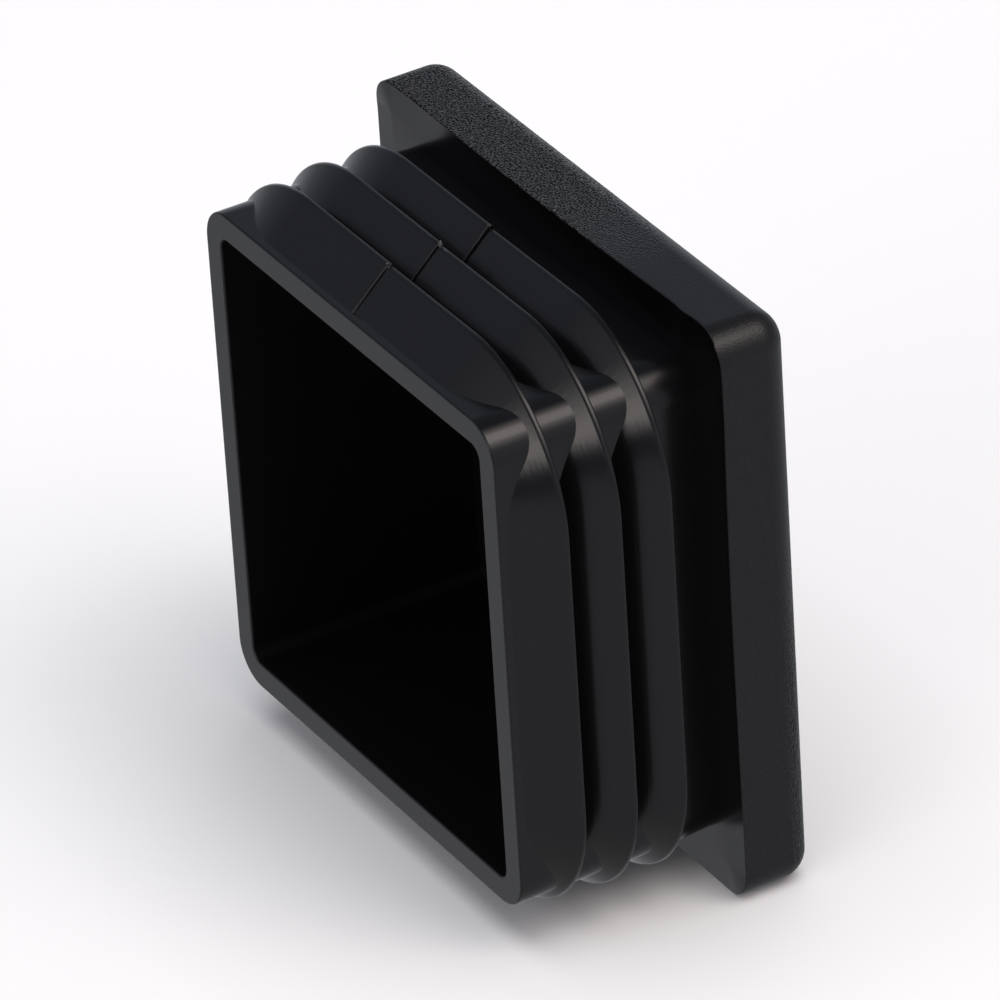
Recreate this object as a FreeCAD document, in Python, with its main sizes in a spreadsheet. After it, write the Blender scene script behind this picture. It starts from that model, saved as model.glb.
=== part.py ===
import FreeCAD, Part
import math
import os
import Sketcher

# Ribbed end cap for a square steel tube, moulded in one piece.
#
# The cap lies on its side, as it comes to rest on a table. +Z is up, the open end of the plug faces -Y and
# the closed outer face of the head faces +Y. The origin is on the table, under the middle of the cap.
# Lengths are in millimetres.

# Driving dimensions: name, value, what it measures
SIZES = [
    ("head_width", 40.0, "side of the square head, equal to the outside of the tube"),
    ("head_thickness", 5.1, "shoulder to outer face"),
    ("head_edge_radius", 1.85, "rounding between the head's sides and its outer face"),
    ("head_corner_margin", 0.2, "how much rounder the head's corners are than its outer edge"),
    ("face_thickness", 2.5, "plate left between the hollow and the outer face"),
    ("plug_width", 34.1, "side of the square plug"),
    ("plug_length", 13.9, "shoulder to rim"),
    ("plug_corner_radius", 2.5, "outer corners of the plug"),
    ("plug_wall", 1.77, "wall of the plug"),
    ("hollow_corner_radius", 0.85, "inner corners of the plug"),
    ("rim_edge_radius", 0.15, "rounding on both edges of the rim"),
    ("rib_rise", 2.58, "how far the second and third ribs stand out of the plug"),
    ("lead_rib_rise", 2.38, "how far the first rib stands out, less so that it starts into the tube"),
    ("rib_corner_radius", 9.7, "corners of a rib along its edge"),
    ("rib_pitch", 3.5, "one rib to the next"),
    ("lead_rib_depth", 3.45, "rim to the back of the first rib"),
    ("lead_band", 0.55, "plain wall between the rim and the first rib's slope"),
    ("rib_gap", 0.45, "plain wall between the back of a rib and the next one's slope"),
    ("rib_land", 0.32, "flat edge of a rib that grips the tube"),
    ("rib_root_overlap", 0.1, "how far a rib's slope runs on towards the mouth inside the wall"),
]

# Sizes worked out from the driving ones: name, formula, what it measures
DERIVED = [
    ("cap_length", "=head_thickness + plug_length", "outer face to rim"),
    ("outer_face_at", "=-cap_length / 2", "outer face, measured from the middle towards the mouth"),
    ("shoulder_at", "=outer_face_at + head_thickness", "shoulder, measured the same way"),
    ("rim_at", "=cap_length / 2", "rim, measured the same way"),
    ("axis_height", "=head_width / 2", "middle of the plug above the table"),
    ("head_corner_radius", "=head_edge_radius + head_corner_margin", "corners of the head seen from the end"),
    ("hollow_width", "=plug_width - 2 * plug_wall", "side of the square hollow"),
    ("hollow_depth", "=cap_length - face_thickness", "rim to the bottom of the hollow"),
]

# The body's own plane that the outlines are drawn on, whose normal points towards the mouth
END_PLANE = "XZ_Plane"

# What an outline is drawn with before its constraints set its sizes
FIRST_HALF_WIDTH = 10.0
FIRST_CORNER_RADIUS = 2.0

# How near an edge lies to a plane to count as lying in it
IN_PLANE = 1e-4

# The ends and the middle of a line or an arc, and the sketch's origin, as its constraints number them
START, END, CENTRE = 1, 2, 3
ORIGIN = (-1, START)


def fill_sheet(sheet):
    """Writes the sizes into the sheet, one alias a row."""
    rows = [(name, f"{value:g}", note) for name, value, note in SIZES] + DERIVED
    for row, (name, content, note) in enumerate(rows, start=1):
        sheet.set(f"A{row}", name)
        sheet.set(f"B{row}", content)
        sheet.set(f"C{row}", note)
        sheet.setAlias(f"B{row}", name)


def end_plane(body):
    """The body's own plane that the cap's square outlines are drawn on."""
    return next(plane for plane in body.Origin.OriginFeatures if plane.Role == END_PLANE)


def square_outline(body, name, place, width, radius):
    """A square with round corners about the cap's axis, at a distance towards the mouth from the middle."""
    sketch = body.newObject("Sketcher::SketchObject", name)
    sketch.AttachmentSupport = [(end_plane(body), "")]
    sketch.MapMode = "FlatFace"
    sketch.setExpression("AttachmentOffset.Base.y", "sizes.axis_height")
    sketch.setExpression("AttachmentOffset.Base.z", place)

    # Sides and corners in turn, anticlockwise from the lower side
    half = FIRST_HALF_WIDTH
    flat = half - FIRST_CORNER_RADIUS
    point = FreeCAD.Vector
    sides = [
        sketch.addGeometry(Part.LineSegment(point(-flat, -half, 0), point(flat, -half, 0)), False),
        sketch.addGeometry(Part.LineSegment(point(half, -flat, 0), point(half, flat, 0)), False),
        sketch.addGeometry(Part.LineSegment(point(flat, half, 0), point(-flat, half, 0)), False),
        sketch.addGeometry(Part.LineSegment(point(-half, flat, 0), point(-half, -flat, 0)), False),
    ]
    centres = [point(flat, -flat, 0), point(flat, flat, 0), point(-flat, flat, 0), point(-flat, -flat, 0)]
    corners = []
    for turn, centre in enumerate(centres):
        start = (turn - 1) * math.pi / 2
        circle = Part.Circle(centre, point(0, 0, 1), FIRST_CORNER_RADIUS)
        corners.append(sketch.addGeometry(Part.ArcOfCircle(circle, start, start + math.pi / 2), False))

    rule = Sketcher.Constraint
    lower, right, upper, left = sides
    for side, corner, next_side in zip(sides, corners, sides[1:] + sides[:1]):
        sketch.addConstraint(rule("Tangent", side, END, corner, START))
        sketch.addConstraint(rule("Tangent", corner, END, next_side, START))
    for level, upright in ((lower, right), (upper, left)):
        sketch.addConstraint(rule("Horizontal", level))
        sketch.addConstraint(rule("Vertical", upright))
    for corner in corners[1:]:
        sketch.addConstraint(rule("Equal", corners[0], corner))
    sketch.addConstraint(rule("Equal", lower, right))
    sketch.addConstraint(rule("Symmetric", corners[0], CENTRE, corners[2], CENTRE, *ORIGIN))

    across = sketch.addConstraint(rule("DistanceX", left, START, right, START, 2 * half))
    sketch.renameConstraint(across, "width")
    sketch.setExpression("Constraints.width", width)
    rounding = sketch.addConstraint(rule("Radius", corners[0], FIRST_CORNER_RADIUS))
    sketch.renameConstraint(rounding, "corner")
    sketch.setExpression("Constraints.corner", radius)
    return sketch


def pad(body, name, outline, length):
    """Extrudes an outline towards the mouth."""
    feature = body.newObject("PartDesign::Pad", name)
    feature.Profile = outline
    feature.setExpression("Length", length)
    return feature


def round_edges(doc, body, name, radius, chosen):
    """Rounds the edges of the body's last feature that the test picks."""
    doc.recompute()
    base = body.Tip
    edges = [f"Edge{number}" for number, edge in enumerate(base.Shape.Edges, start=1) if chosen(edge)]
    feature = body.newObject("PartDesign::Fillet", name)
    feature.Base = (base, edges)
    feature.setExpression("Radius", radius)
    return feature


def lies_at(edge, place):
    """True for an edge that lies wholly in the plane at that distance from the middle towards the mouth."""
    box = edge.BoundBox
    return abs(box.YMin + place) < IN_PLANE and abs(box.YMax + place) < IN_PLANE


def add_head(doc, body):
    """The square head, with the edge of its outer face rounded."""
    outline = square_outline(body, "head_outline", "sizes.outer_face_at", "sizes.head_width",
                             "sizes.head_corner_radius")
    pad(body, "head", outline, "sizes.head_thickness")
    doc.recompute()
    outer = doc.sizes.outer_face_at
    round_edges(doc, body, "head_edge", "sizes.head_edge_radius", lambda edge: lies_at(edge, outer))


def add_plug(body):
    """The square plug that goes into the tube."""
    outline = square_outline(body, "plug_outline", "sizes.shoulder_at", "sizes.plug_width",
                             "sizes.plug_corner_radius")
    pad(body, "plug", outline, "sizes.plug_length")


def add_rib(body, name, rise, depth, slope_length):
    """One rib: a flat edge that grips the tube, and a slope that sinks into the wall towards the mouth.

    The slope's corners are cones about the same centres as the edge's corners. So near the plug's corners
    the slope leaves the wall only a little way before the edge.
    """
    back = f"sizes.rim_at - ({depth})"
    edge_width = f"sizes.plug_width + 2 * {rise}"
    edge = square_outline(body, f"{name}_edge", back, edge_width, "sizes.rib_corner_radius")
    pad(body, f"{name}_land", edge, "sizes.rib_land")

    front = f"{back} + sizes.rib_land"
    top = square_outline(body, f"{name}_slope_top", front, edge_width, "sizes.rib_corner_radius")
    run = f"({slope_length} + sizes.rib_root_overlap)"
    fall = f"({rise} * {run} / ({slope_length}))"
    root = square_outline(body, f"{name}_slope_root", f"{front} + {run}", f"{edge_width} - 2 * {fall}",
                          f"sizes.rib_corner_radius - {fall}")
    slope = body.newObject("PartDesign::AdditiveLoft", f"{name}_slope")
    slope.Profile = top
    slope.Sections = [root]
    slope.Ruled = True
    return slope


def add_ribs(body):
    """Three ribs, with a little plain wall before each slope."""
    add_rib(body, "lead_rib", "sizes.lead_rib_rise", "sizes.lead_rib_depth",
            "sizes.lead_rib_depth - sizes.rib_land - sizes.lead_band")
    for step, name in enumerate(("middle_rib", "last_rib"), start=1):
        add_rib(body, name, "sizes.rib_rise", f"sizes.lead_rib_depth + {step} * sizes.rib_pitch",
                "sizes.rib_pitch - sizes.rib_land - sizes.rib_gap")


def hollow_out(doc, body):
    """The square hollow, open at the rim, and the small rounding of the rim's two edges."""
    outline = square_outline(body, "hollow_outline", "sizes.rim_at", "sizes.hollow_width",
                             "sizes.hollow_corner_radius")
    hollow = body.newObject("PartDesign::Pocket", "hollow")
    hollow.Profile = outline
    hollow.setExpression("Length", "sizes.hollow_depth")
    doc.recompute()
    rim = doc.sizes.rim_at
    round_edges(doc, body, "rim_edges", "sizes.rim_edge_radius", lambda edge: lies_at(edge, rim))


def check(doc, body):
    """Stops if a feature failed or the cap isn't one sound solid."""
    for item in doc.Objects:
        if "Invalid" in item.State or "Error" in item.State:
            raise RuntimeError(f"{item.Name} failed: {item.State}")
    shape = body.Shape
    if shape.isNull() or not shape.isValid() or len(shape.Solids) != 1:
        raise RuntimeError("the cap isn't one valid solid")


def build():
    """Makes the document, the cap and its file."""
    doc = FreeCAD.newDocument("tube_end_cap")
    fill_sheet(doc.addObject("Spreadsheet::Sheet", "sizes"))
    doc.recompute()

    body = doc.addObject("PartDesign::Body", "end_cap")
    body.Label = "end_cap"
    body.Placement = FreeCAD.Placement()
    add_head(doc, body)
    add_plug(body)
    add_ribs(body)
    hollow_out(doc, body)
    doc.recompute()
    check(doc, body)

    os.makedirs("parts", exist_ok=True)
    body.Shape.exportStep(f"parts/{body.Label}.step")
    box = body.Shape.BoundBox
    print(f"{body.Label}: {box.XLength:.2f} x {box.YLength:.2f} x {box.ZLength:.2f} mm, "
          f"volume {body.Shape.Volume:.0f} mm3, faces {len(body.Shape.Faces)}")


build()
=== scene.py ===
import math

import bmesh
import bpy
from bpy.props import FloatProperty, FloatVectorProperty, IntProperty, PointerProperty
from mathutils import Matrix, Vector


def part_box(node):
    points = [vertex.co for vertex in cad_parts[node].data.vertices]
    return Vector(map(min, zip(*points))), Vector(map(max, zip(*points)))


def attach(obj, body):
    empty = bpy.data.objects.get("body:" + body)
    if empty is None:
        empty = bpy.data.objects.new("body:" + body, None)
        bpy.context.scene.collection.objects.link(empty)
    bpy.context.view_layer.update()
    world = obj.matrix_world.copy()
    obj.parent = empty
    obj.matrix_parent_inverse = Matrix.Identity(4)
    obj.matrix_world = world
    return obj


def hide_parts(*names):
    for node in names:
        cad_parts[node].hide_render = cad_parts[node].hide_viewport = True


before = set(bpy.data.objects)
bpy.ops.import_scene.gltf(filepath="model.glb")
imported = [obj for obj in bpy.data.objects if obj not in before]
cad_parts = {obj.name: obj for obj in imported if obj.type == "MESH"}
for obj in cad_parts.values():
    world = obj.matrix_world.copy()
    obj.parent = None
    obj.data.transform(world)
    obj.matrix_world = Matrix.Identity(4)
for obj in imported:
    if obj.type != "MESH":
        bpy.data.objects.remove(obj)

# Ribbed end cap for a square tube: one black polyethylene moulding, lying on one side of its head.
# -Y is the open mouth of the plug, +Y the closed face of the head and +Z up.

bl_info = {
    "name": "Ribbed tube end cap",
    "version": (1, 0, 0),
    "blender": (4, 5, 0),
    "location": "View3D > Sidebar > End Cap",
    "description": "A ribbed plastic end cap for a square tube, with its studio",
    "category": "Add Mesh",
}

MM = 0.001
LOW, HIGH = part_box("end_cap")
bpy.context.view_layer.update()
AXIS = Vector(((LOW.x + HIGH.x) / 2, 0.0, (LOW.z + HIGH.z) / 2))

# Material slots of the moulding, and the materials that fill them
POLISHED, GRAINED, MILLED, LAPPED, GROUND, TORN = range(6)
MATERIALS = []

# Edges that turn by more than this stay sharp
SHARP_ANGLE = math.radians(31)

# A block's start faces the mouth, so its normal's Y lies below this
START_FACING = -0.99

# Steps that draw the small roundings
EDGE_STEPS = 4
HEAD_EDGE_STEPS = 12
LAND_FRONT_STEPS = 5
LAND_BACK_STEPS = 3

# How far the blocks run into each other, or past the rim, so that they join and cut cleanly
SLOPE_OVERRUN = 0.1 * MM
PLUG_OVERRUN = 0.5 * MM
HOLLOW_OVERRUN = 1 * MM

# Corner of the square inside the shoulder that the head starts from
START_CORNER = 0.15 * MM

# The shoulder's bow, measured from the middle of its sides: the cuts that let it bend, in millimetres, the
# place that its size is given for, where it stops growing, and the middle and width of its small step
SHOULDER_CUTS = (-17.9, -16, -14, -12, -9, -6, -3, 0, 3, 6, 9, 12, 14, 14.8, 15.3, 15.9, 16.5, 17.2, 17.9)
BOW_PLACE = 16 * MM
BOW_END = 14 * MM
NICK_PLACE, NICK_WIDTH = 15.7 * MM, 0.6 * MM

# Share of the skew by which the top side's left half stands forward
SKEW_FORWARD = 0.2

# Where a corner begins, as its short way from the axis over its long way, and the shares of the bow that the
# corners and the lower half keep
CORNER_START, CORNER_SHARE, LOWER_SHARE = 0.85, 0.4, 0.5

# Everything up to this many radii of its edge from the shoulder moves with it
SHOULDER_REACH = 1.5

# Where a rib is cut for its parting line: across the sag of its halves, in millimetres from the middle, and
# across the line itself, in widths of its flash. Along the line it is cut into short pieces.
SAG_CUTS = (-9.6, -6.4, -3.2, -1.0, 1.0, 3.2, 6.4, 9.6)
SAG_REACH = 9.7 * MM
LINE_CUTS = (-1.5, -1.0, -0.5, 0.5, 1.0, 1.5)
LINE_PIECES, PIECE_LENGTH = 12, 0.25 * MM

# Each rib's parting line, first rib first: drop of its lower half, width of the line and swelling of the nub
# on the land, all as shares of the sizes, and slope of the nub
WELD_LINES = ((0.8, 1.0, 0.7, 0.6), (1.0, 0.65, 2.4, 0.9), (1.5, 0.9, 0.6, 0.6))

# How the step of a parting line is shared between its halves, and where it stands in widths of the flash
RAISED_SHARE, SUNK_SHARE = 0.3, 0.7
STEP_PLACE = 0.75

# How deep a rib's surface reaches inside the plug
ROOT_DEPTH = 0.2 * MM

# The flash: its mean height and how much that varies, the lengths of the two waves that vary it, and its tilt
FLASH_MEAN, FLASH_SWING = 0.8, 0.5
FLASH_WAVES = 0.21 * MM, 0.33 * MM
FLASH_TILT = 2

# Index of refraction of polyethylene
PLASTIC_IOR = 1.5

# Flow unevenness of a polished surface: its width, its height and how much of it shows
FLOW_WIDTH, FLOW_HEIGHT, FLOW_SHARE = 6 * MM, 0.02 * MM, 0.1

# Cells of the noise from one bump of the grain to the next, the noise up to which its pits get painted shade
# and from which its tops get a painted gleam, and how much plain plastic gleams beside them
GRAIN_CELLS = 1.6
PIT_NOISE, TOP_NOISE = 0.36, 0.64
PLAIN_GLEAM = 0.52

# Where the grain fades out along the head, and where it comes back: towards the outer edge, down the right
# side and on the outer face
GRAIN_WHOLE, GRAIN_WORN = 1 * MM, 11.5 * MM
EDGE_FROM, EDGE_TO = 7.4 * MM, 9 * MM
LOW_FROM, LOW_TO = 30 * MM, 10 * MM
FACE_FROM, FACE_TO = 8.8 * MM, 9.4 * MM

# The lamps, in metres: direction from the cap, which way the lamp's height runs, distance, width and height
BACK_SOFTBOX = (0.480, 0.300, 0.824), (-0.86, 0.0, 0.51), 0.5, (0.21, 0.21)
FRONT_SOFTBOX = (0.342, -0.890, 0.301), (0.0, 0.0, 1.0), 0.5, (0.287, 0.11)
OVERHEAD_FILL = (0.0, 0.0, 1.0), (0.0, 1.0, 0.0), 1.2, (1.2, 1.2)
WARM_WHITE, NEUTRAL_WHITE = (1.0, 0.89, 0.85), (1.0, 1.0, 1.0)

# The walls' tone by the sine of the height above the horizon
WALL_TONES = (
    (-1.0, (0.30, 0.30, 0.31)),
    (-0.75, (0.38, 0.38, 0.41)),
    (-0.45, (0.43, 0.44, 0.47)),
    (-0.18, (0.41, 0.42, 0.45)),
    (0.0, (0.30, 0.31, 0.35)),
    (0.3, (0.25, 0.26, 0.32)),
    (0.65, (0.18, 0.19, 0.23)),
    (1.0, (0.15, 0.16, 0.19)),
)

# Light spilled on the walls: direction, reach in degrees, strength, tint and the heights over which it is cut
# off from below. The last one takes light away, between the front softbox and the table. Each fades out from
# its middle to its reach by the same power.
GLOWS = (
    ((0.480, 0.300, 0.824), 34, 2.4, (1.11, 1.0, 0.94), None),
    ((0.819, 0.331, 0.469), 45, 0.30, (1.05, 1.0, 0.97), None),
    ((0.346, -0.902, 0.259), 32, 2.1, (1.09, 1.0, 0.93), (0.157, 0.225)),
    ((0.0, -0.906, 0.423), 58, 0.30, (1.0, 1.0, 1.0), (0.05, 0.2)),
    ((-0.809, 0.588, 0.0), 36, 0.35, (0.85, 0.94, 1.0), None),
    ((0.515, -0.857, 0.03), 12, -0.19, (1.0, 1.0, 1.0), None),
)
GLOW_FALL = 2.0

# Half the table's side, its dullness, the camera's sensor in millimetres and how near and far the camera sees
TABLE_HALF, TABLE_ROUGHNESS = 3.0, 0.7
SENSOR_WIDTH = 36
NEAREST, FARTHEST = 0.05, 20


def linear(value):
    """The linear colour of an sRGB hex value such as 0x1A1A1C."""
    parts = [(value >> shift & 255) / 255 for shift in (16, 8, 0)]
    return tuple(part / 12.92 if part <= 0.04045 else ((part + 0.055) / 1.055) ** 2.4 for part in parts)


def length(name, millimetres, description):
    """A size in metres that shows in the scene's unit."""
    return FloatProperty(name=name, description=description, default=millimetres * MM, min=0.0, precision=5,
                         unit="LENGTH", subtype="DISTANCE")


def share(name, value, description, highest=1.0):
    """A plain number from nought upwards, such as a roughness."""
    return FloatProperty(name=name, description=description, default=value, min=0.0, max=highest)


def angle(name, degrees, description):
    """An angle, kept in radians."""
    return FloatProperty(name=name, description=description, default=math.radians(degrees), unit="ROTATION",
                         subtype="ANGLE")


def power(name, watts, description):
    """A lamp's power."""
    return FloatProperty(name=name, description=description, default=watts, min=0.0, unit="POWER")


def tone(name, value, description):
    """A colour, given by its sRGB hex value."""
    return FloatVectorProperty(name=name, description=description, default=linear(value), size=3, min=0.0,
                               max=1.0, subtype="COLOR")


class EndCapSizes(bpy.types.PropertyGroup):
    """Sizes of the moulding."""
    head_width: length("Head width", (HIGH.x - LOW.x) / MM, "Side of the square head")
    head_thickness: length("Head thickness", 5.1, "Shoulder to outer face")
    head_edge_radius: length("Head edge radius", 1.85, "Rounding between the head's sides and its outer face")
    head_corner_radius: length("Head corner radius", 2.05, "Corners of the head seen from the end")
    shoulder_edge_radius: length("Shoulder edge radius", 0.07, "Rounding of the head's edge towards the tube")
    shoulder_bow: length("Shoulder bow", 0.2, "How far the shoulder draws back 16 mm from its side's middle")
    shoulder_skew: length("Shoulder skew", 0.16, "How much more that is at the right end of the top side")
    shoulder_nick: length("Shoulder nick", 0.1, "Height of the small step in that edge near the right corner")
    face_thickness: length("Face thickness", 2.5, "Plate between the hollow and the outer face")
    plug_width: length("Plug width", 34.1, "Side of the square plug")
    plug_corner_radius: length("Plug corner radius", 2.5, "Outer corners of the plug")
    plug_wall: length("Plug wall", 1.77, "Wall of the plug")
    hollow_corner_radius: length("Hollow corner radius", 0.85, "Inner corners of the plug")
    rim_edge_radius: length("Rim edge radius", 0.12, "Rounding on both edges of the rim")
    rib_rise: length("Rib rise", 2.58, "How far the second and third ribs stand out of the plug")
    lead_rib_rise: length("Lead rib rise", 2.38, "How far the first rib stands out of the plug")
    rib_corner_radius: length("Rib corner radius", 9.7, "Corners of a rib along its edge")
    rib_pitch: length("Rib pitch", 3.5, "One rib to the next")
    lead_rib_depth: length("Lead rib depth", 3.45, "Rim to the back of the first rib")
    lead_band: length("Lead band", 0.55, "Plain wall between the rim and the first rib's slope")
    rib_gap: length("Rib gap", 0.45, "Plain wall between the back of a rib and the next one's slope")
    rib_land: length("Rib land", 0.32, "Flat edge of a rib that grips the tube")
    land_front_radius: length("Land front radius", 0.35, "Rounding between a rib's slope and its flat edge")
    land_back_radius: length("Land back radius", 0.08, "Rounding between a rib's flat edge and its back")
    wall_sink: length("Wall sink", 0.2, "How far the plug's wall draws in between the last rib and the head")
    parting_step: length("Parting step", 0.16, "How far one half of a rib stands above the other")
    flash_width: length("Flash width", 0.08, "Thickness of the flash along the mould's parting line")
    flash_height: length("Flash height", 0.05, "Height of that flash")
    groove_depth: length("Groove depth", 0.09, "Depth of the nick on either side of the flash")
    corner_segments: IntProperty(name="Corner segments", description="Faces round each corner", default=24,
                                 min=8, max=48)


class EndCapFinish(bpy.types.PropertyGroup):
    """Looks of the plastic."""
    black: tone("Black", 0x070708, "Carbon-black polyethylene")
    polished_roughness: share("Polished roughness", 0.16, "Rim and shoulder, from a polished mould")
    grained_roughness: share("Grained roughness", 0.4, "Head, where its grain is shallow")
    bump_roughness: share("Bump roughness", 0.22, "Head, where its grain is deepest")
    milled_roughness: share("Milled roughness", 0.189, "Ribs and plug, from milled mould inserts")
    milled_stretch: share("Milled stretch", 0.54, "How much more they blur across their lines")
    ground_roughness: share("Ground roughness", 0.4, "Hollow, from a ground core")
    torn: tone("Torn", 0x181010, "Torn flash")
    torn_roughness: share("Torn roughness", 0.5, "Flash along the parting line")
    line_pitch: length("Line pitch", 0.2, "Milling line to milling line")
    line_height: length("Line height", 0.005, "Height of a milling line on the ribs")
    lapped_height: length("Lapped height", 0.001, "Height of a milling line on the plug, after lapping")
    grain_pitch: length("Grain pitch", 0.22, "Bump to bump on the head")
    grain_height: length("Grain height", 0.24, "Height of a bump on the head, where the grain is deepest")
    # The pits' painted shade and the tops' painted gleam, both set in the specular level
    painted_pit_shade: share("Pit shade", 0.5, "How much less the pits gleam than plain plastic", 0.5)
    painted_top_gleam: share("Top gleam", 0.16, "How much more the tops of the bumps gleam", 0.48)
    worn_grain: share("Worn grain", 0.08, "Share of that height left on the right side")


class EndCapStudio(bpy.types.PropertyGroup):
    """Camera, table and lights."""
    aim: FloatVectorProperty(name="Aim", description="Point that the camera looks at", size=3, unit="LENGTH",
                             default=(-0.11 * MM, 0.33 * MM, 20.41 * MM), subtype="TRANSLATION")
    azimuth: angle("Azimuth", 60.865, "Camera's direction, 0 in front of the mouth")
    elevation: angle("Elevation", 31.844, "Camera's height above the horizon")
    roll: angle("Roll", 3.693, "Camera's turn about its own line of sight")
    distance: length("Distance", 621.67, "Camera to the point that it looks at")
    focal_length: FloatProperty(name="Focal length", description="In millimetres, on a 36 mm sensor",
                                default=367.53, min=20.0, unit="CAMERA")
    back_lamp: power("Back lamp", 0.134, "Power of the softbox above the far side")
    front_lamp: power("Front lamp", 0.064, "Power of the softbox near the camera")
    fill_lamp: power("Fill lamp", 9.5, "Power of the overhead fill")
    floor: tone("Floor", 0xF8F8F8, "White table")


def rounded_block(name, half, radius, profile, sizes, finish, start_finish=None):
    """A closed block round the cap's axis.

    A square with round corners starts it, and is pushed along the axis through each (spread, along) point of
    the profile. The corners keep their centres, so a spread of the sides is a spread of the corners' radius.
    """
    bm = bmesh.new()
    spread, along = profile[0]
    bmesh.ops.create_grid(bm, x_segments=1, y_segments=1, size=half + spread)
    bmesh.ops.rotate(bm, verts=bm.verts, cent=(0, 0, 0), matrix=Matrix.Rotation(math.pi / 2, 3, "X"))
    bmesh.ops.bevel(bm, geom=bm.verts[:], offset=radius + spread, offset_type="OFFSET", profile=0.5,
                    segments=sizes.corner_segments, affect="VERTICES", material=-1)
    bmesh.ops.translate(bm, verts=bm.verts, vec=AXIS + Vector((0, along, 0)))
    ring = bm.edges[:]
    for next_spread, next_along in profile[1:]:
        grown = bmesh.ops.extrude_edge_only(bm, edges=ring)["geom"]
        verts = [item for item in grown if isinstance(item, bmesh.types.BMVert)]
        ring = [item for item in grown if isinstance(item, bmesh.types.BMEdge)]
        bmesh.ops.translate(bm, verts=verts, vec=(0, next_along - along, 0))
        spread_corners(bm, verts, half - radius, (radius + next_spread) / (radius + spread))
        spread, along = next_spread, next_along
    bmesh.ops.holes_fill(bm, edges=ring, sides=0)
    bmesh.ops.recalc_face_normals(bm, faces=bm.faces)
    for face in bm.faces:
        face.material_index = finish
        if start_finish is not None and face.normal.y < START_FACING:
            face.material_index = start_finish
    mesh = bpy.data.meshes.new(name)
    bm.to_mesh(mesh)
    bm.free()
    for material in MATERIALS:
        mesh.materials.append(material)
    block = bpy.data.objects.new(name, mesh)
    bpy.context.scene.collection.objects.link(block)
    return block


def spread_corners(bm, verts, centre, growth):
    """Scales each corner of a ring about its own centre, which lies that far out from the axis both ways."""
    for sign_x in (-1, 1):
        for sign_z in (-1, 1):
            corner = [vert for vert in verts
                      if (vert.co.x - AXIS.x) * sign_x > 0 and (vert.co.z - AXIS.z) * sign_z > 0]
            place = AXIS + Vector((centre * sign_x, 0, centre * sign_z))
            bmesh.ops.scale(bm, verts=corner, vec=(growth, 1, growth), space=Matrix.Translation(-place))


def arc(centre, radius, start, end, steps):
    """Points of an arc in the (spread, along) plane, from one angle in degrees to another."""
    angles = [math.radians(start + (end - start) * step / steps) for step in range(steps + 1)]
    return [(centre[0] + radius * math.cos(a), centre[1] + radius * math.sin(a)) for a in angles]


def cut_across(bm, faces, place, normal):
    """Cuts some faces along a plane."""
    parts = set(faces)
    for face in faces:
        parts.update(face.edges)
        parts.update(face.verts)
    bmesh.ops.bisect_plane(bm, geom=list(parts), plane_co=place, plane_no=normal)


def head_block(sizes):
    """The square head: its shoulder with a small edge, its sides and the rounded edge of the outer face."""
    outer = HIGH.y
    shoulder = outer - sizes.head_thickness
    back, front = sizes.shoulder_edge_radius, sizes.head_edge_radius
    profile = ([(START_CORNER - sizes.head_corner_radius, shoulder)]
               + arc((-back, shoulder + back), back, -90, 0, EDGE_STEPS)
               + arc((-front, outer - front), front, 0, 90, HEAD_EDGE_STEPS))
    head = rounded_block("end_cap_moulding", sizes.head_width / 2, sizes.head_corner_radius, profile, sizes,
                         GRAINED, POLISHED)
    bow_shoulder(head, shoulder, sizes)
    return head


def bow_shoulder(head, shoulder, sizes):
    """Draws the shoulder back towards the ends of its four sides, as the thick head shrank in the mould."""
    bm = bmesh.new()
    bm.from_mesh(head.data)
    for place in SHOULDER_CUTS:
        cut_across(bm, bm.faces[:], (AXIS.x + place * MM, 0, 0), (1, 0, 0))
        cut_across(bm, bm.faces[:], (0, 0, AXIS.z + place * MM), (0, 0, 1))
    for vert in bm.verts:
        if vert.co.y <= shoulder + SHOULDER_REACH * sizes.shoulder_edge_radius:
            vert.co.y += drawn_back(vert.co.x - AXIS.x, vert.co.z - AXIS.z, sizes)
    bm.to_mesh(head.data)
    bm.free()


def drawn_back(x, z, sizes):
    """How far the shoulder is drawn back at a place that is given from the cap's axis.

    The plug's foot stays, and the corners and the lower half draw back less. The top side's right end draws
    back most, and has a small step in its edge.
    """
    half = sizes.head_width / 2
    foot = sizes.plug_width / 2
    centre = half - sizes.head_corner_radius
    past_x, past_z = max(0, abs(x) - centre), max(0, abs(z) - centre)
    reach = math.hypot(past_x, past_z) + centre if past_x or past_z else max(abs(x), abs(z))
    upright = abs(x) > abs(z)
    along = min(abs(z if upright else x), BOW_END)
    bow = sizes.shoulder_bow * (along / BOW_PLACE) ** 2
    if z > 0 and not upright:
        bow += sizes.shoulder_skew * (max(0, x) / BOW_PLACE - SKEW_FORWARD)
        bow -= sizes.shoulder_nick * math.exp(-((x - NICK_PLACE) / NICK_WIDTH) ** 2)
    squareness = min(abs(x), abs(z)) / max(abs(x), abs(z), MM)
    near = max(0, squareness - CORNER_START) / (1 - CORNER_START)
    kept = 1 - (1 - CORNER_SHARE) * near * near * (3 - 2 * near)
    if z < 0:
        kept *= LOWER_SHARE
    return bow * kept * max(0, (reach - foot) / (half - foot))


def plug_block(sizes):
    """The plug before it is hollowed: rounded rim, straight wall, and a wall drawn in behind the last rib."""
    rim = LOW.y
    shoulder = HIGH.y - sizes.head_thickness
    last_back = rim + sizes.lead_rib_depth + (len(WELD_LINES) - 1) * sizes.rib_pitch
    edge = sizes.rim_edge_radius
    profile = (arc((-edge, rim + edge), edge, -90, 0, EDGE_STEPS)
               + [(0, last_back), (-sizes.wall_sink, shoulder), (-sizes.wall_sink, shoulder + PLUG_OVERRUN)])
    return rounded_block("plug", sizes.plug_width / 2, sizes.plug_corner_radius, profile, sizes, LAPPED,
                         POLISHED)


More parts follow.
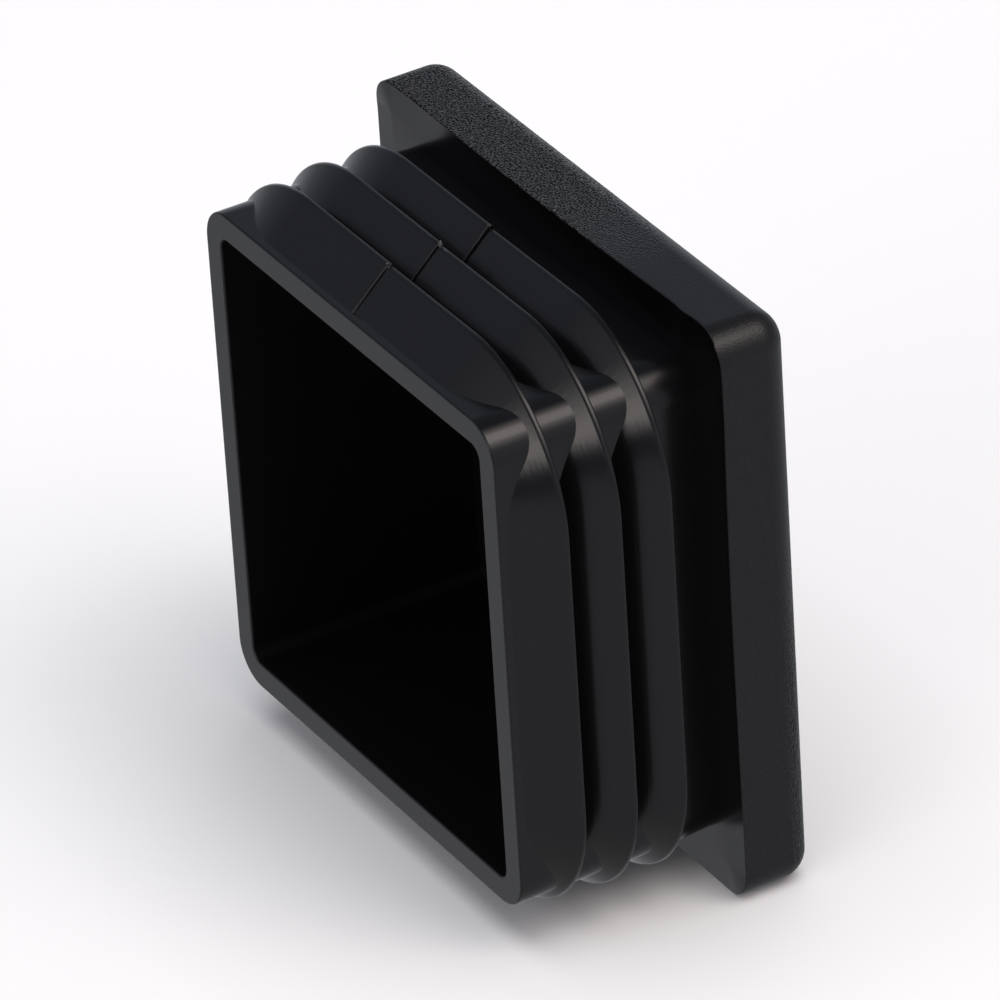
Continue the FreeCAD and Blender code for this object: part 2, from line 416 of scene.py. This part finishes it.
def hollow_block(sizes):
    """What is cut out of the plug, with the rounding of the rim's inner edge."""
    rim = LOW.y
    half = sizes.plug_width / 2 - sizes.plug_wall
    edge = sizes.rim_edge_radius
    profile = ([(edge, rim - HOLLOW_OVERRUN)]
               + arc((edge, rim + edge), edge, -90, -180, EDGE_STEPS)
               + [(0, HIGH.y - sizes.face_thickness)])
    return rounded_block("hollow", half, sizes.hollow_corner_radius, profile, sizes, GROUND)


def rib_blocks(sizes):
    """The three ribs with their parting lines, first rib first."""
    ribs = []
    slope_start = LOW.y + sizes.lead_band
    for number, line in enumerate(WELD_LINES):
        rise = sizes.rib_rise if number else sizes.lead_rib_rise
        back = LOW.y + sizes.lead_rib_depth + number * sizes.rib_pitch
        rib = rounded_block(f"rib_{number + 1}", sizes.plug_width / 2 + rise, sizes.rib_corner_radius,
                            rib_profile(sizes, rise, back, slope_start), sizes, MILLED)
        weld_line(rib, back - sizes.rib_land, line, sizes)
        ribs.append(rib)
        slope_start = back + sizes.rib_gap
    return ribs


def rib_profile(sizes, rise, back, slope_start):
    """Slope, rounded front of the land, land and the nearly sharp edge of the back.

    Spreads are measured from the land. The slope starts at the wall, and runs on a little inside it.
    """
    front = back - sizes.rib_land
    tilt = math.atan2(rise, front - slope_start)
    radius, edge = sizes.land_front_radius, sizes.land_back_radius
    return ([(-rise - SLOPE_OVERRUN * math.tan(tilt), slope_start - SLOPE_OVERRUN)]
            + arc((-radius, front + radius * math.tan(tilt / 2)), radius, -math.degrees(tilt), 0,
                  LAND_FRONT_STEPS)
            + arc((-edge, back - edge), edge, 0, 90, LAND_BACK_STEPS))


def weld_line(rib, front, line, sizes):
    """The mould's parting line across the top and bottom of a rib.

    One half of the rib stands above the other, which sags towards the line. Along the step runs a thin,
    uneven flash with a nick on either side, and on the land it swells to a nub.
    """
    drop, width, nub, slope = line
    flash = width * sizes.flash_width
    bm = bmesh.new()
    bm.from_mesh(rib.data)
    cut_weld_line(bm, front, flash)
    for vert in bm.verts:
        across = vert.co.x - AXIS.x
        inside = abs(vert.co.z - AXIS.z) < sizes.plug_width / 2 - ROOT_DEPTH
        if inside or abs(across) > SAG_REACH:
            continue
        fade = sizes.parting_step * (1 - abs(across) / SAG_REACH)
        lift = RAISED_SHARE * fade if across < STEP_PLACE * flash else -SUNK_SHARE * drop * fade
        waves = [math.sin(vert.co.y / FLASH_WAVES[0]), math.sin(vert.co.y / FLASH_WAVES[1] + front / MM)]
        uneven = FLASH_MEAN + FLASH_SWING * waves[0] * waves[1]
        swell = nub if vert.co.y > front else 0
        tilt = FLASH_TILT * slope * (1 + nub) if swell else FLASH_TILT
        ring = round(2 * abs(across) / flash)
        if ring == 1:
            lift += sizes.flash_height * uneven * (1 + swell) - tilt * max(0, across)
        elif ring == 2:
            lift -= sizes.groove_depth * uneven
        if ring <= len(LINE_CUTS) // 2:
            vert.co.x += across * swell
        vert.co.z += lift if vert.co.z > AXIS.z else -lift
    for face in bm.faces:
        middle = face.calc_center_median()
        if abs(middle.x - AXIS.x) < 0.5 * flash:
            face.material_index = POLISHED if middle.y > front else TORN
    bm.to_mesh(rib.data)
    bm.free()


def cut_weld_line(bm, front, flash):
    """Cuts a rib across its sag and its parting line, and the line into short pieces down from the land."""
    for place in [place * MM for place in SAG_CUTS] + [place * flash for place in LINE_CUTS]:
        cut_across(bm, bm.faces[:], (AXIS.x + place, 0, 0), (1, 0, 0))
    for piece in range(1, LINE_PIECES):
        strip = [face for face in bm.faces
                 if abs(face.calc_center_median().x - AXIS.x) < LINE_CUTS[-1] * flash]
        cut_across(bm, strip, (0, front - piece * PIECE_LENGTH, 0), (0, 1, 0))


def combine(base, others, operation):
    """Joins the other blocks to the base, or cuts them out of it, and removes them."""
    for other in others:
        step = base.modifiers.new(operation, "BOOLEAN")
        step.operation = operation
        step.solver = "MANIFOLD"
        step.object = other
    bpy.context.view_layer.update()
    shown = base.evaluated_get(bpy.context.evaluated_depsgraph_get())
    mesh = bpy.data.meshes.new_from_object(shown)
    base.modifiers.clear()
    old = base.data
    base.data = mesh
    bpy.data.meshes.remove(old)
    for other in others:
        mesh = other.data
        bpy.data.objects.remove(other)
        bpy.data.meshes.remove(mesh)


def finish_moulding(cap):
    """Marks the sharp edges and evens the shading of the flat sides."""
    bm = bmesh.new()
    bm.from_mesh(cap.data)
    if not all(edge.is_manifold for edge in bm.edges):
        raise RuntimeError("the moulding isn't one closed skin")
    for face in bm.faces:
        face.smooth = True
    for edge in bm.edges:
        edge.smooth = edge.calc_face_angle() <= SHARP_ANGLE
    bm.to_mesh(cap.data)
    bm.free()
    cap.modifiers.new("even shading", "WEIGHTED_NORMAL").keep_sharp = True


def add_node(tree, kind, settings=None, inputs=None, links=None):
    """Adds a node with its settings, socket values and incoming links."""
    node = tree.nodes.new(kind)
    for name, value in (settings or {}).items():
        setattr(node, name, value)
    for name, value in (inputs or {}).items():
        node.inputs[name].default_value = value
    for name, source in (links or {}).items():
        tree.links.new(source, node.inputs[name])
    return node


def new_material(name):
    """An empty node material and its tree."""
    material = bpy.data.materials.new(name)
    material.use_nodes = True
    material.node_tree.nodes.clear()
    return material, material.node_tree


def polished_polyethylene(finish):
    """Black polyethylene from a polished mould: smooth, its reflections soft-edged and faintly uneven."""
    material, tree = new_material("black_polyethylene_polished_mould")
    place = add_node(tree, "ShaderNodeTexCoord")
    uneven = add_node(tree, "ShaderNodeTexNoise", {"noise_dimensions": "3D"},
                      {"Scale": 1 / FLOW_WIDTH, "Detail": 2.0}, {"Vector": place.outputs["Object"]})
    bump = add_node(tree, "ShaderNodeBump", None, {"Strength": FLOW_SHARE, "Distance": FLOW_HEIGHT},
                    {"Height": uneven.outputs["Fac"]})
    shader = add_node(tree, "ShaderNodeBsdfPrincipled", None,
                      {"Base Color": (*finish.black, 1), "Roughness": finish.polished_roughness,
                       "IOR": PLASTIC_IOR}, {"Normal": bump.outputs["Normal"]})
    add_node(tree, "ShaderNodeOutputMaterial", None, None, {"Surface": shader.outputs["BSDF"]})
    return material


def grained_polyethylene(finish):
    """Black polyethylene from a spark-eroded mould: close, leather-like bumps that break up the light.

    The bumps are glossy, so they sparkle at the rounded edge. The pits get painted shade, a lower specular
    level, for the light that they lose to their own walls, and the tops a painted gleam, a higher one. The
    grain is shallower towards the right side, where the mould is worn, but not on that side's lower outer
    edge and on the outer face.
    """
    material, tree = new_material("black_polyethylene_spark_eroded_grain")
    place = add_node(tree, "ShaderNodeTexCoord")
    grain = add_node(tree, "ShaderNodeTexNoise", {"noise_dimensions": "3D"},
                     {"Scale": GRAIN_CELLS / finish.grain_pitch, "Detail": 0.0},
                     {"Vector": place.outputs["Object"]})
    side = add_node(tree, "ShaderNodeSeparateXYZ", None, None, {"Vector": place.outputs["Object"]})
    worn = add_node(tree, "ShaderNodeMapRange", {"interpolation_type": "SMOOTHSTEP"},
                    {"From Min": GRAIN_WHOLE, "From Max": GRAIN_WORN, "To Min": 1.0,
                     "To Max": finish.worn_grain}, {"Value": side.outputs["X"]})
    edge = add_node(tree, "ShaderNodeMapRange", {"interpolation_type": "SMOOTHSTEP"},
                    {"From Min": EDGE_FROM, "From Max": EDGE_TO}, {"Value": side.outputs["Y"]})
    low = add_node(tree, "ShaderNodeMapRange", {"interpolation_type": "SMOOTHSTEP"},
                   {"From Min": LOW_FROM, "From Max": LOW_TO}, {"Value": side.outputs["Z"]})
    face = add_node(tree, "ShaderNodeMapRange", None, {"From Min": FACE_FROM, "From Max": FACE_TO},
                    {"Value": side.outputs["Y"]})
    kept = add_node(tree, "ShaderNodeMath", {"operation": "MULTIPLY_ADD", "use_clamp": True}, None,
                    {0: edge.outputs["Result"], 1: low.outputs["Result"], 2: face.outputs["Result"]})
    depth = add_node(tree, "ShaderNodeMath", {"operation": "MAXIMUM"}, None,
                     {0: worn.outputs["Result"], 1: kept.outputs["Value"]})
    # Painted shade in the pits and a painted gleam on the tops, through the specular level
    pits = add_node(tree, "ShaderNodeMapRange", {"interpolation_type": "SMOOTHSTEP"},
                    {"From Min": PIT_NOISE, "From Max": TOP_NOISE, "To Min": -finish.painted_pit_shade,
                     "To Max": finish.painted_top_gleam}, {"Value": grain.outputs["Fac"]})
    gleam = add_node(tree, "ShaderNodeMath", {"operation": "MULTIPLY_ADD"}, {2: PLAIN_GLEAM},
                     {0: pits.outputs["Result"], 1: depth.outputs["Value"]})
    dull = add_node(tree, "ShaderNodeMapRange", None,
                    {"To Min": finish.grained_roughness, "To Max": finish.bump_roughness},
                    {"Value": depth.outputs["Value"]})
    bump = add_node(tree, "ShaderNodeBump", None, {"Distance": finish.grain_height},
                    {"Height": grain.outputs["Fac"], "Strength": depth.outputs["Value"]})
    shader = add_node(tree, "ShaderNodeBsdfPrincipled", None,
                      {"Base Color": (*finish.black, 1), "IOR": PLASTIC_IOR},
                      {"Normal": bump.outputs["Normal"], "Roughness": dull.outputs["Result"],
                       "Specular IOR Level": gleam.outputs["Value"]})
    add_node(tree, "ShaderNodeOutputMaterial", None, None, {"Surface": shader.outputs["BSDF"]})
    return material


def milled_polyethylene(finish, name, line_height):
    """Black polyethylene from a milled or a lapped mould insert: fine lines that run round the plug or a rib.

    They streak its highlights, and blur what it reflects across the lines more than along them. They are
    drawn a little coarser than a cutter leaves them, so that they show.
    """
    material, tree = new_material(name)
    place = add_node(tree, "ShaderNodeTexCoord")
    along = add_node(tree, "ShaderNodeSeparateXYZ", None, None, {"Vector": place.outputs["Object"]})
    lines = add_node(tree, "ShaderNodeTexNoise", {"noise_dimensions": "1D"},
                     {"Scale": 1 / finish.line_pitch, "Detail": 2.0}, {"W": along.outputs["Y"]})
    bump = add_node(tree, "ShaderNodeBump", None, {"Strength": 1.0, "Distance": line_height},
                    {"Height": lines.outputs["Fac"]})
    across = add_node(tree, "ShaderNodeCombineXYZ", None, {"Y": 1.0})
    shader = add_node(tree, "ShaderNodeBsdfPrincipled", None,
                      {"Base Color": (*finish.black, 1), "Roughness": finish.milled_roughness,
                       "IOR": PLASTIC_IOR, "Anisotropic": finish.milled_stretch},
                      {"Normal": bump.outputs["Normal"], "Tangent": across.outputs["Vector"]})
    add_node(tree, "ShaderNodeOutputMaterial", None, None, {"Surface": shader.outputs["BSDF"]})
    return material


def ground_polyethylene(finish):
    """Black polyethylene from a ground core: dull enough to blur lights in the hollow to a faint sheen."""
    material, tree = new_material("black_polyethylene_ground_core")
    shader = add_node(tree, "ShaderNodeBsdfPrincipled", None,
                      {"Base Color": (*finish.black, 1), "Roughness": finish.ground_roughness,
                       "IOR": PLASTIC_IOR})
    add_node(tree, "ShaderNodeOutputMaterial", None, None, {"Surface": shader.outputs["BSDF"]})
    return material


def torn_polyethylene(finish):
    """Black polyethylene flash, torn off at the parting line: matt, and brownish where it was stressed."""
    material, tree = new_material("black_polyethylene_torn_flash")
    shader = add_node(tree, "ShaderNodeBsdfPrincipled", None,
                      {"Base Color": (*finish.torn, 1), "Roughness": finish.torn_roughness,
                       "IOR": PLASTIC_IOR})
    add_node(tree, "ShaderNodeOutputMaterial", None, None, {"Surface": shader.outputs["BSDF"]})
    return material


class ENDCAP_OT_moulding(bpy.types.Operator):
    """Models the cap: a head and a hollow plug with three sawtooth ribs, in one piece"""
    bl_idname = "endcap.moulding"
    bl_label = "Add Moulding"
    bl_options = {"REGISTER", "UNDO"}

    def execute(self, context):
        sizes, finish = context.scene.end_cap_sizes, context.scene.end_cap_finish
        MATERIALS[:] = (
            polished_polyethylene(finish),
            grained_polyethylene(finish),
            milled_polyethylene(finish, "black_polyethylene_milled_mould", finish.line_height),
            milled_polyethylene(finish, "black_polyethylene_lapped_mould", finish.lapped_height),
            ground_polyethylene(finish),
            torn_polyethylene(finish),
        )
        head = head_block(sizes)
        combine(head, [plug_block(sizes), *rib_blocks(sizes)], "UNION")
        combine(head, [hollow_block(sizes)], "DIFFERENCE")
        finish_moulding(head)
        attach(head, "root")
        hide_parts("end_cap")
        return {"FINISHED"}


class ENDCAP_OT_studio(bpy.types.Operator):
    """Sets the camera at the photograph's angle, the white table and the soft lights"""
    bl_idname = "endcap.studio"
    bl_label = "Add Studio"
    bl_options = {"REGISTER", "UNDO"}

    def execute(self, context):
        studio, scene = context.scene.end_cap_studio, context.scene
        add_camera(scene, studio)
        add_floor(scene, studio)
        add_lights(scene, studio)
        scene.view_settings.view_transform = "Standard"
        return {"FINISHED"}


def add_camera(scene, studio):
    """A long lens, turned a little about its line of sight."""
    camera = bpy.data.objects.new("camera", bpy.data.cameras.new("camera"))
    scene.collection.objects.link(camera)
    flat = math.cos(studio.elevation)
    back = Vector((math.sin(studio.azimuth) * flat, -math.cos(studio.azimuth) * flat,
                   math.sin(studio.elevation)))
    turn = back.to_track_quat("Z", "Y").to_matrix() @ Matrix.Rotation(-studio.roll, 3, "Z")
    camera.matrix_world = Matrix.Translation(Vector(studio.aim) + back * studio.distance) @ turn.to_4x4()
    camera.data.lens = studio.focal_length
    camera.data.sensor_width = SENSOR_WIDTH
    camera.data.clip_start, camera.data.clip_end = NEAREST, FARTHEST
    scene.camera = camera


def add_floor(scene, studio):
    """A white table, wide enough to fill every view."""
    bm = bmesh.new()
    bmesh.ops.create_grid(bm, x_segments=1, y_segments=1, size=TABLE_HALF)
    mesh = bpy.data.meshes.new("floor")
    bm.to_mesh(mesh)
    bm.free()
    floor = bpy.data.objects.new("floor", mesh)
    scene.collection.objects.link(floor)
    material, tree = new_material("white_laminate_table")
    shader = add_node(tree, "ShaderNodeBsdfPrincipled", None,
                      {"Base Color": (*studio.floor, 1), "Roughness": TABLE_ROUGHNESS,
                       "Specular IOR Level": 0.0})
    add_node(tree, "ShaderNodeOutputMaterial", None, None, {"Surface": shader.outputs["BSDF"]})
    mesh.materials.append(material)
    floor.visible_glossy = False


def add_lights(scene, studio):
    """The walls, two softboxes and a fill that evens the table's white."""
    add_walls(scene)
    add_lamp(scene, "back_softbox", BACK_SOFTBOX, studio.back_lamp, WARM_WHITE)
    add_lamp(scene, "front_softbox", FRONT_SOFTBOX, studio.front_lamp, WARM_WHITE)
    fill = add_lamp(scene, "overhead_fill", OVERHEAD_FILL, studio.fill_lamp, NEUTRAL_WHITE)
    fill.visible_glossy = False


def add_lamp(scene, name, placing, watts, colour):
    """A rectangular softbox that shines at the cap."""
    direction, upwards, distance, size = placing
    lamp = bpy.data.objects.new(name, bpy.data.lights.new(name, "AREA"))
    scene.collection.objects.link(lamp)
    lamp.data.shape = "RECTANGLE"
    lamp.data.size, lamp.data.size_y = size
    lamp.data.energy = watts
    lamp.data.color = colour
    away = Vector(direction).normalized()
    up = (Vector(upwards) - away * away.dot(Vector(upwards))).normalized()
    turn = Matrix((up.cross(away), up, away)).transposed()
    lamp.matrix_world = Matrix.Translation(AXIS + away * distance) @ turn.to_4x4()
    return lamp


def add_walls(scene):
    """Grey surroundings, darker overhead and bluish above the table's height, with light spilled on them."""
    world = bpy.data.worlds.new("studio_walls")
    scene.world = world
    world.use_nodes = True
    tree = world.node_tree
    tree.nodes.clear()
    way = add_node(tree, "ShaderNodeTexCoord").outputs["Generated"]
    height = add_node(tree, "ShaderNodeSeparateXYZ", None, None, {"Vector": way})
    level = add_node(tree, "ShaderNodeMapRange", None, {"From Min": -1.0, "From Max": 1.0},
                     {"Value": height.outputs["Z"]})
    ramp = add_node(tree, "ShaderNodeValToRGB", None, None, {"Fac": level.outputs["Result"]})
    stops = ramp.color_ramp.elements
    while len(stops) < len(WALL_TONES):
        stops.new(0.5)
    for stop, (place, tint) in zip(stops, WALL_TONES):
        stop.position = (place + 1) / 2
        stop.color = (*tint, 1)
    colour = ramp.outputs["Color"]
    for glow in GLOWS:
        colour = add_glow(tree, colour, way, glow)
    walls = add_node(tree, "ShaderNodeBackground", None, {"Strength": 1.0}, {"Color": colour})
    add_node(tree, "ShaderNodeOutputWorld", None, None, {"Surface": walls.outputs["Background"]})


def add_glow(tree, colour, way, glow):
    """Adds one of the glows to the walls' colour, fading out round its direction and at its cut."""
    direction, reach, strength, tint, cut = glow
    facing = add_node(tree, "ShaderNodeVectorMath", {"operation": "DOT_PRODUCT"},
                      {1: Vector(direction).normalized()}, {0: way})
    inside = add_node(tree, "ShaderNodeMapRange", None,
                      {"From Min": math.cos(math.radians(reach)), "From Max": 1.0},
                      {"Value": facing.outputs["Value"]})
    fade = add_node(tree, "ShaderNodeMath", {"operation": "POWER"}, {1: GLOW_FALL},
                    {0: inside.outputs["Result"]})
    if cut:
        height = add_node(tree, "ShaderNodeSeparateXYZ", None, None, {"Vector": way})
        above = add_node(tree, "ShaderNodeMapRange", None, {"From Min": cut[0], "From Max": cut[1]},
                         {"Value": height.outputs["Z"]})
        fade = add_node(tree, "ShaderNodeMath", {"operation": "MULTIPLY"}, None,
                        {0: fade.outputs["Value"], 1: above.outputs["Result"]})
    light = add_node(tree, "ShaderNodeVectorMath", {"operation": "SCALE"},
                     {0: [part * strength for part in tint]}, {"Scale": fade.outputs["Value"]})
    total = add_node(tree, "ShaderNodeVectorMath", {"operation": "ADD"}, None,
                     {0: colour, 1: light.outputs["Vector"]})
    return total.outputs["Vector"]


class ENDCAP_PT_panel(bpy.types.Panel):
    """Sidebar panel with the cap's sizes, finish and studio"""
    bl_label = "End Cap"
    bl_idname = "ENDCAP_PT_panel"
    bl_space_type = "VIEW_3D"
    bl_region_type = "UI"
    bl_category = "End Cap"

    def draw(self, context):
        scene = context.scene
        for operator, groups in ((ENDCAP_OT_moulding, (scene.end_cap_sizes, scene.end_cap_finish)),
                                 (ENDCAP_OT_studio, (scene.end_cap_studio,))):
            box = self.layout.box()
            box.operator(operator.bl_idname)
            for group in groups:
                for name in type(group).__annotations__:
                    box.prop(group, name)


CLASSES = (EndCapSizes, EndCapFinish, EndCapStudio, ENDCAP_OT_moulding, ENDCAP_OT_studio, ENDCAP_PT_panel)


def register():
    """Registers the classes and gives the scene their settings."""
    for cls in CLASSES:
        bpy.utils.register_class(cls)
    bpy.types.Scene.end_cap_sizes = PointerProperty(type=EndCapSizes)
    bpy.types.Scene.end_cap_finish = PointerProperty(type=EndCapFinish)
    bpy.types.Scene.end_cap_studio = PointerProperty(type=EndCapStudio)


def unregister():
    """Takes the settings and the classes away again."""
    del bpy.types.Scene.end_cap_studio
    del bpy.types.Scene.end_cap_finish
    del bpy.types.Scene.end_cap_sizes
    for cls in reversed(CLASSES):
        bpy.utils.unregister_class(cls)


def main():
    """Makes the cap and its studio."""
    register()
    bpy.ops.endcap.moulding()
    bpy.ops.endcap.studio()


if __name__ == "__main__":
    main()
